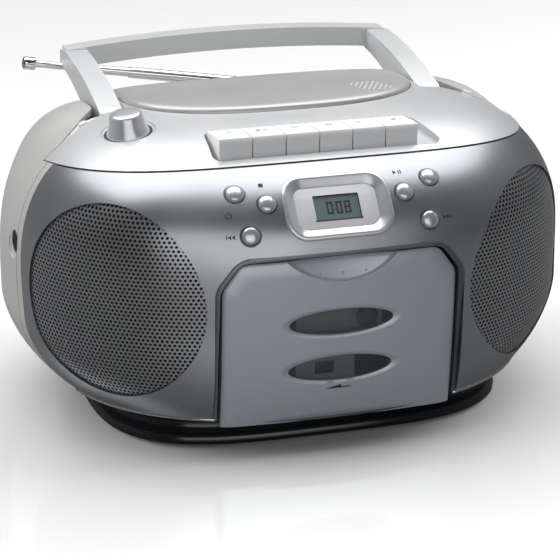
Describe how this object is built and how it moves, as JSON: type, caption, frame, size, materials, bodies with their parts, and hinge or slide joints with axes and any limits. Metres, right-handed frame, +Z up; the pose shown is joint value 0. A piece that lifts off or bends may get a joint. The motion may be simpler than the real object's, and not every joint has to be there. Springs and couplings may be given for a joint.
{
  "type": "portable radio cassette and disc player",
  "caption": "Rounded silver portable radio with side speakers, front cassette door, top disc lid, piano keys, swinging carry handle and telescopic antenna.",
  "frame": {"origin": "on the resting surface, below the middle of the whole object's box at rest", "axes": "+X along the width to the right as seen from the front, -Y is the front with the cassette door, +Z up"},
  "size_m": [0.31, 0.2385, 0.1775],
  "materials": {
    "silver_shell": "metallic silver paint, satin",
    "pearl_top": "light metallic silver paint, satin gloss",
    "rear_shell": "silver moulded plastic, satin",
    "black_base": "black moulded plastic, semi-gloss",
    "rubber_foot": "matt black rubber",
    "speaker_mesh": "perforated sheet, grey paint",
    "basket_steel": "pressed steel",
    "cone_paper": "black paper cone",
    "bezel_silver": "silver paint, gloss",
    "display_plate": "pale plate with a clear window",
    "lcd_glass": "grey-green liquid crystal display",
    "button_silver": "bright silver paint",
    "key_plastic": "pale silver paint",
    "door_silver": "blue-grey metallic paint, satin",
    "smoked_window": "smoked clear plastic",
    "dark_plastic": "dark moulded plastic",
    "steel": "bright steel",
    "reel_plastic": "white nylon",
    "black_plastic": "black moulded plastic",
    "roller_rubber": "ground rubber",
    "lid_silver": "metallic silver paint, satin",
    "knob_silver": "bright silver paint",
    "control_plastic": "pale silver plastic",
    "handle_silver": "metallic silver paint, satin",
    "antenna_chrome": "bright chrome plate",
    "circuit_board": "green laminate",
    "transformer_core": "laminated iron with tape"
  },
  "bodies": {
    "cabinet": {"front_cabinet": "silver_shell", "top_cabinet": "pearl_top", "rear_cabinet": "rear_shell", "base_plinth": "black_base", "front_left_foot": "rubber_foot", "front_right_foot": "rubber_foot", "rear_left_foot": "rubber_foot", "rear_right_foot": "rubber_foot", "left_grille": "speaker_mesh", "right_grille": "speaker_mesh", "left_speaker_basket": "basket_steel", "right_speaker_basket": "basket_steel", "left_speaker_cone": "cone_paper", "right_speaker_cone": "cone_paper", "display_bezel": "bezel_silver", "display_window": "display_plate", "display_module": "lcd_glass", "key_axle": "steel", "deck_chassis": "dark_plastic", "deck_motor": "steel", "cd_well": "dark_plastic", "cd_motor": "steel", "main_board": "circuit_board", "mains_transformer": "transformer_core", "mains_inlet": "black_plastic", "headphone_jack": "black_plastic"},
    "door": {"cassette_door": "door_silver", "upper_window": "smoked_window", "lower_window": "smoked_window", "cassette_holder": "dark_plastic"},
    "pause_key": {"pause_key": "key_plastic"},
    "stop_eject_key": {"stop_eject_key": "key_plastic"},
    "forward_key": {"forward_key": "key_plastic"},
    "rewind_key": {"rewind_key": "key_plastic"},
    "play_key": {"play_key": "key_plastic"},
    "record_key": {"record_key": "key_plastic"},
    "standby_button": {"standby_button": "button_silver"},
    "stop_button": {"stop_button": "button_silver"},
    "back_button": {"back_button": "button_silver"},
    "play_button": {"play_button": "button_silver"},
    "mode_button": {"mode_button": "button_silver"},
    "next_button": {"next_button": "button_silver"},
    "cd_lid": {"cd_lid": "lid_silver"},
    "cd_hub": {"cd_hub": "black_plastic"},
    "optical_sled": {"optical_sled": "black_plastic"},
    "supply_spindle": {"supply_spindle": "reel_plastic"},
    "takeup_spindle": {"takeup_spindle": "reel_plastic"},
    "capstan_flywheel": {"capstan_flywheel": "steel"},
    "head_bridge": {"head_bridge": "steel"},
    "pinch_roller": {"pinch_roller": "roller_rubber"},
    "volume_knob": {"volume_knob": "knob_silver"},
    "function_slider": {"function_slider": "control_plastic"},
    "band_slider": {"band_slider": "control_plastic"},
    "tuning_wheel": {"tuning_wheel": "control_plastic"},
    "carry_handle": {"carry_handle": "handle_silver"},
    "antenna_knuckle": {"antenna_knuckle": "antenna_chrome"},
    "antenna_tube": {"antenna_tube": "antenna_chrome"},
    "antenna_middle_tube": {"antenna_middle_tube": "antenna_chrome"},
    "antenna_tip_rod": {"antenna_tip_rod": "antenna_chrome"},
    "battery_door": {"battery_door": "rear_shell"}
  },
  "joints": [
    {"name": "cassette_door_hinge", "type": "hinge", "parent": "cabinet", "child": "door", "pos_m": [0, -0.104, 0.024], "axis": [1, 0, 0], "range_deg": [0, 40]},
    {"name": "pause_key_press", "type": "hinge", "parent": "cabinet", "child": "pause_key", "pos_m": [0, -0.038, 0.149], "axis": [1, 0, 0], "range_deg": [0, 6.5], "stiffness_Nm_per_rad": 1, "springref_deg": -3.44},
    {"name": "stop_eject_key_press", "type": "hinge", "parent": "cabinet", "child": "stop_eject_key", "pos_m": [0, -0.038, 0.149], "axis": [1, 0, 0], "range_deg": [0, 6.5], "stiffness_Nm_per_rad": 1, "springref_deg": -3.44},
    {"name": "forward_key_press", "type": "hinge", "parent": "cabinet", "child": "forward_key", "pos_m": [0, -0.038, 0.149], "axis": [1, 0, 0], "range_deg": [0, 6.5], "stiffness_Nm_per_rad": 1, "springref_deg": -3.44},
    {"name": "rewind_key_press", "type": "hinge", "parent": "cabinet", "child": "rewind_key", "pos_m": [0, -0.038, 0.149], "axis": [1, 0, 0], "range_deg": [0, 6.5], "stiffness_Nm_per_rad": 1, "springref_deg": -3.44},
    {"name": "play_key_press", "type": "hinge", "parent": "cabinet", "child": "play_key", "pos_m": [0, -0.038, 0.149], "axis": [1, 0, 0], "range_deg": [0, 6.5], "stiffness_Nm_per_rad": 1, "springref_deg": -3.44},
    {"name": "record_key_press", "type": "hinge", "parent": "cabinet", "child": "record_key", "pos_m": [0, -0.038, 0.149], "axis": [1, 0, 0], "range_deg": [0, 6.5], "stiffness_Nm_per_rad": 1, "springref_deg": -3.44},
    {"name": "standby_button_press", "type": "slide", "parent": "cabinet", "child": "standby_button", "axis": [0.0512, 0.6321, -0.7732], "range_m": [0, 0.0012], "stiffness_N_per_m": 400, "springref_m": -0.001},
    {"name": "stop_button_press", "type": "slide", "parent": "cabinet", "child": "stop_button", "axis": [0.025, 0.7194, -0.6941], "range_m": [0, 0.0012], "stiffness_N_per_m": 400, "springref_m": -0.001},
    {"name": "back_button_press", "type": "slide", "parent": "cabinet", "child": "back_button", "axis": [0.0833, 0.9055, -0.4161], "range_m": [0, 0.0012], "stiffness_N_per_m": 400, "springref_m": -0.001},
    {"name": "play_button_press", "type": "slide", "parent": "cabinet", "child": "play_button", "axis": [-0.025, 0.7194, -0.6941], "range_m": [0, 0.0012], "stiffness_N_per_m": 400, "springref_m": -0.001},
    {"name": "mode_button_press", "type": "slide", "parent": "cabinet", "child": "mode_button", "axis": [-0.0512, 0.6321, -0.7732], "range_m": [0, 0.0012], "stiffness_N_per_m": 400, "springref_m": -0.001},
    {"name": "next_button_press", "type": "slide", "parent": "cabinet", "child": "next_button", "axis": [-0.0833, 0.9055, -0.4161], "range_m": [0, 0.0012], "stiffness_N_per_m": 400, "springref_m": -0.001},
    {"name": "cd_lid_hinge", "type": "hinge", "parent": "cabinet", "child": "cd_lid", "pos_m": [0, 0.099, 0.1412], "axis": [-1, 0, 0], "range_deg": [0, 50]},
    {"name": "disc_spin", "type": "hinge", "parent": "cabinet", "child": "cd_hub", "pos_m": [0, 0.0355, 0.134], "axis": [0, 0, 1], "continuous": true},
    {"name": "laser_travel", "type": "slide", "parent": "cabinet", "child": "optical_sled", "axis": [1, 0, 0], "range_m": [-0.003, 0.022]},
    {"name": "supply_reel_spin", "type": "hinge", "parent": "cabinet", "child": "supply_spindle", "pos_m": [-0.02125, -0.0915, 0.059], "axis": [0, 1, 0], "continuous": true},
    {"name": "takeup_reel_spin", "type": "hinge", "parent": "cabinet", "child": "takeup_spindle", "pos_m": [0.02125, -0.0915, 0.059], "axis": [0, 1, 0], "continuous": true},
    {"name": "capstan_spin", "type": "hinge", "parent": "cabinet", "child": "capstan_flywheel", "pos_m": [0.013, -0.0915, 0.087], "axis": [0, 1, 0], "continuous": true},
    {"name": "head_travel", "type": "slide", "parent": "cabinet", "child": "head_bridge", "axis": [0, 0, -1], "range_m": [0, 0.0045]},
    {"name": "pinch_roller_spin", "type": "hinge", "parent": "head_bridge", "child": "pinch_roller", "pos_m": [0.022, -0.0955, 0.103], "axis": [0, 1, 0], "continuous": true},
    {"name": "volume_turn", "type": "hinge", "parent": "cabinet", "child": "volume_knob", "pos_m": [-0.0917, -0.032, 0.1602], "axis": [-0.1395, -0.0871, 0.9864], "range_deg": [-150, 150]},
    {"name": "function_switch", "type": "slide", "parent": "cabinet", "child": "function_slider", "axis": [-0.7875, -0.5634, -0.2497], "range_m": [-0.006, 0.006]},
    {"name": "band_switch", "type": "slide", "parent": "cabinet", "child": "band_slider", "axis": [0.7875, -0.5634, -0.2497], "range_m": [-0.006, 0.006]},
    {"name": "tuning_turn", "type": "hinge", "parent": "cabinet", "child": "tuning_wheel", "pos_m": [0.1205, -0.008, 0.12576], "axis": [0, 1, 0], "range_deg": [-150, 150]},
    {"name": "handle_swing", "type": "hinge", "parent": "cabinet", "child": "carry_handle", "pos_m": [0, 0.012, 0.153], "axis": [-1, 0, 0], "range_deg": [-85, 0]},
    {"name": "antenna_turn", "type": "hinge", "parent": "cabinet", "child": "antenna_knuckle", "pos_m": [0.092, 0.115, 0.1279], "axis": [0, 1, 0], "range_deg": [-4, 130]},
    {"name": "antenna_fold", "type": "hinge", "parent": "antenna_knuckle", "child": "antenna_tube", "pos_m": [0.092, 0.115, 0.1279], "axis": [-0.1623, 0, -0.9867], "range_deg": [0, 85]},
    {"name": "antenna_middle_slide", "type": "slide", "parent": "antenna_tube", "child": "antenna_middle_tube", "axis": [-0.9867, 0, 0.1623], "range_m": [-0.034, 0.09]},
    {"name": "antenna_tip_slide", "type": "slide", "parent": "antenna_middle_tube", "child": "antenna_tip_rod", "axis": [-0.9867, 0, 0.1623], "range_m": [-0.022, 0.095]},
    {"name": "battery_door_hinge", "type": "hinge", "parent": "cabinet", "child": "battery_door", "pos_m": [0, 0.1102, 0.0344], "axis": [-1, 0, 0], "range_deg": [0, 75]}
  ],
  "couplings": [
    {"joint": "play_key_press", "follows": "head_travel", "rad_per_m": 25.2},
    {"joint": "takeup_reel_spin", "follows": "capstan_spin", "ratio": 0.15}
  ]
}
